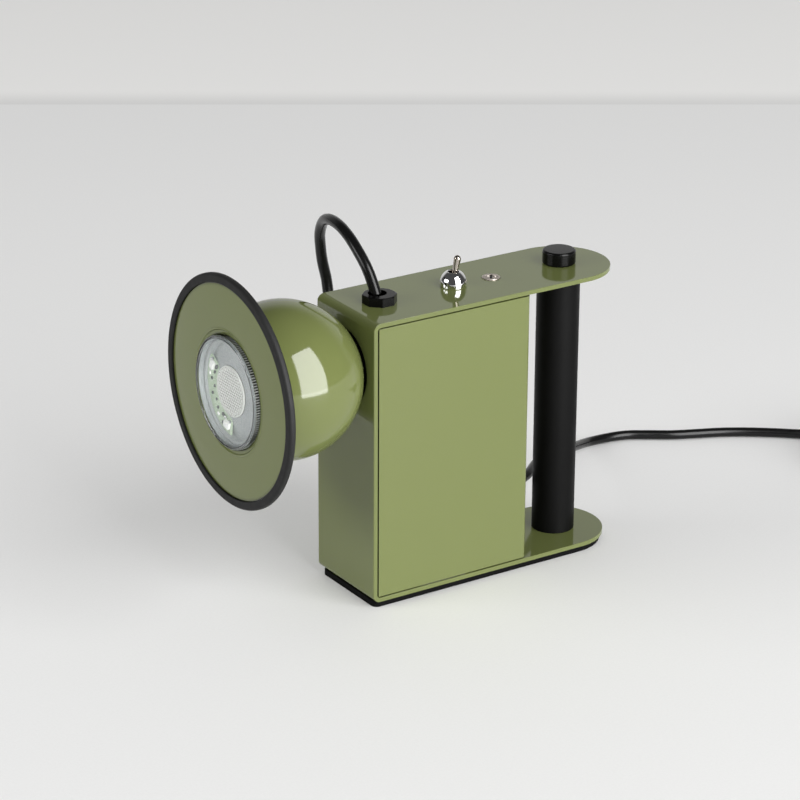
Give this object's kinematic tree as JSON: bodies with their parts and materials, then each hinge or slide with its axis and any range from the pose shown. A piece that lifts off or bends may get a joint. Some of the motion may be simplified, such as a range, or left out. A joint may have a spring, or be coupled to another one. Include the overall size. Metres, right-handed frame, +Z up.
{
  "type": "table lamp",
  "caption": "Box-bodied metal table lamp with a magnet-held ball head, round screen, reflector bulb, toggle switch, tube handle and mains cord.",
  "frame": {"origin": "middle of the rubber sole's underside, half way along the folded strip and on its centre plane", "axes": "+X from the ball head to the tube handle, +Y to the cord's side, +Z up from the surface that the lamp stands on"},
  "size_m": [0.4121, 0.2015, 0.1623],
  "materials": {
    "olive_lacquer": "glossy olive green lacquer on sheet steel",
    "tube_black": "satin black paint on steel tube",
    "black_plastic": "satin black moulding",
    "black_rubber": "matt black rubber",
    "cord_jacket": "smooth black cable jacket with a soft gloss",
    "chrome": "polished chrome",
    "steel": "zinc plated steel",
    "brass": "plain brass",
    "wire": "brown and blue insulated wire",
    "ceramic": "white ceramic and moulded plastic",
    "bulb_shell": "white moulded bulb body",
    "bulb_glass": "clear moulded lens"
  },
  "bodies": {
    "body": {"frame_strip": "olive_lacquer", "cover": "olive_lacquer", "cover_screws": "steel", "cover_nuts": "steel", "base_sole": "black_rubber", "handle_tube": "tube_black", "handle_plugs": "steel", "handle_cap": "black_plastic", "handle_foot_screw": "steel", "gland_body": "black_plastic", "gland_locknut": "black_plastic", "gland_seal": "black_rubber", "loop_cord": "cord_jacket", "switch_body": "black_plastic", "switch_dome_nut": "chrome", "switch_locknut": "steel", "switch_terminals": "brass", "seat_bush": "black_plastic", "terminal_block": "ceramic", "terminal_screws": "brass", "block_screw": "steel", "inner_leads": "wire", "mains_relief": "black_rubber", "mains_cord": "cord_jacket", "mains_coil": "cord_jacket", "cord_tie": "black_rubber", "mains_tail": "cord_jacket", "plug_body": "black_plastic", "plug_pins": "steel"},
    "lever": {"switch_lever": "chrome"},
    "seat": {"seat_cup": "black_plastic", "seat_magnet": "steel", "seat_clip": "steel"},
    "head": {"ball_shell": "olive_lacquer", "ball_grommet": "black_rubber", "head_disc": "olive_lacquer", "edge_trim": "black_rubber", "lamp_holder": "ceramic", "holder_bracket": "steel", "holder_screws": "steel", "head_leads": "wire", "bulb_body": "bulb_shell", "bulb_lens": "bulb_glass", "bulb_board": "bulb_shell", "bulb_base": "ceramic", "bulb_pins": "steel"}
  },
  "joints": [
    {"name": "head_turn", "type": "hinge", "parent": "body", "child": "seat", "pos_m": [-0.1, 0, 0.1078], "axis": [1, 0, 0], "range_deg": [-35, 35], "deforming": ["loop_cord"]},
    {"name": "head_tilt", "type": "hinge", "parent": "seat", "child": "head", "pos_m": [-0.1, 0, 0.1078], "axis": [0, 1, 0], "range_deg": [-45, 45], "deforming": ["loop_cord"]},
    {"name": "lever_throw", "type": "hinge", "parent": "body", "child": "lever", "pos_m": [-0.012, 0, 0.1355], "axis": [0, 1, 0], "range_deg": [-22, 0]}
  ]
}
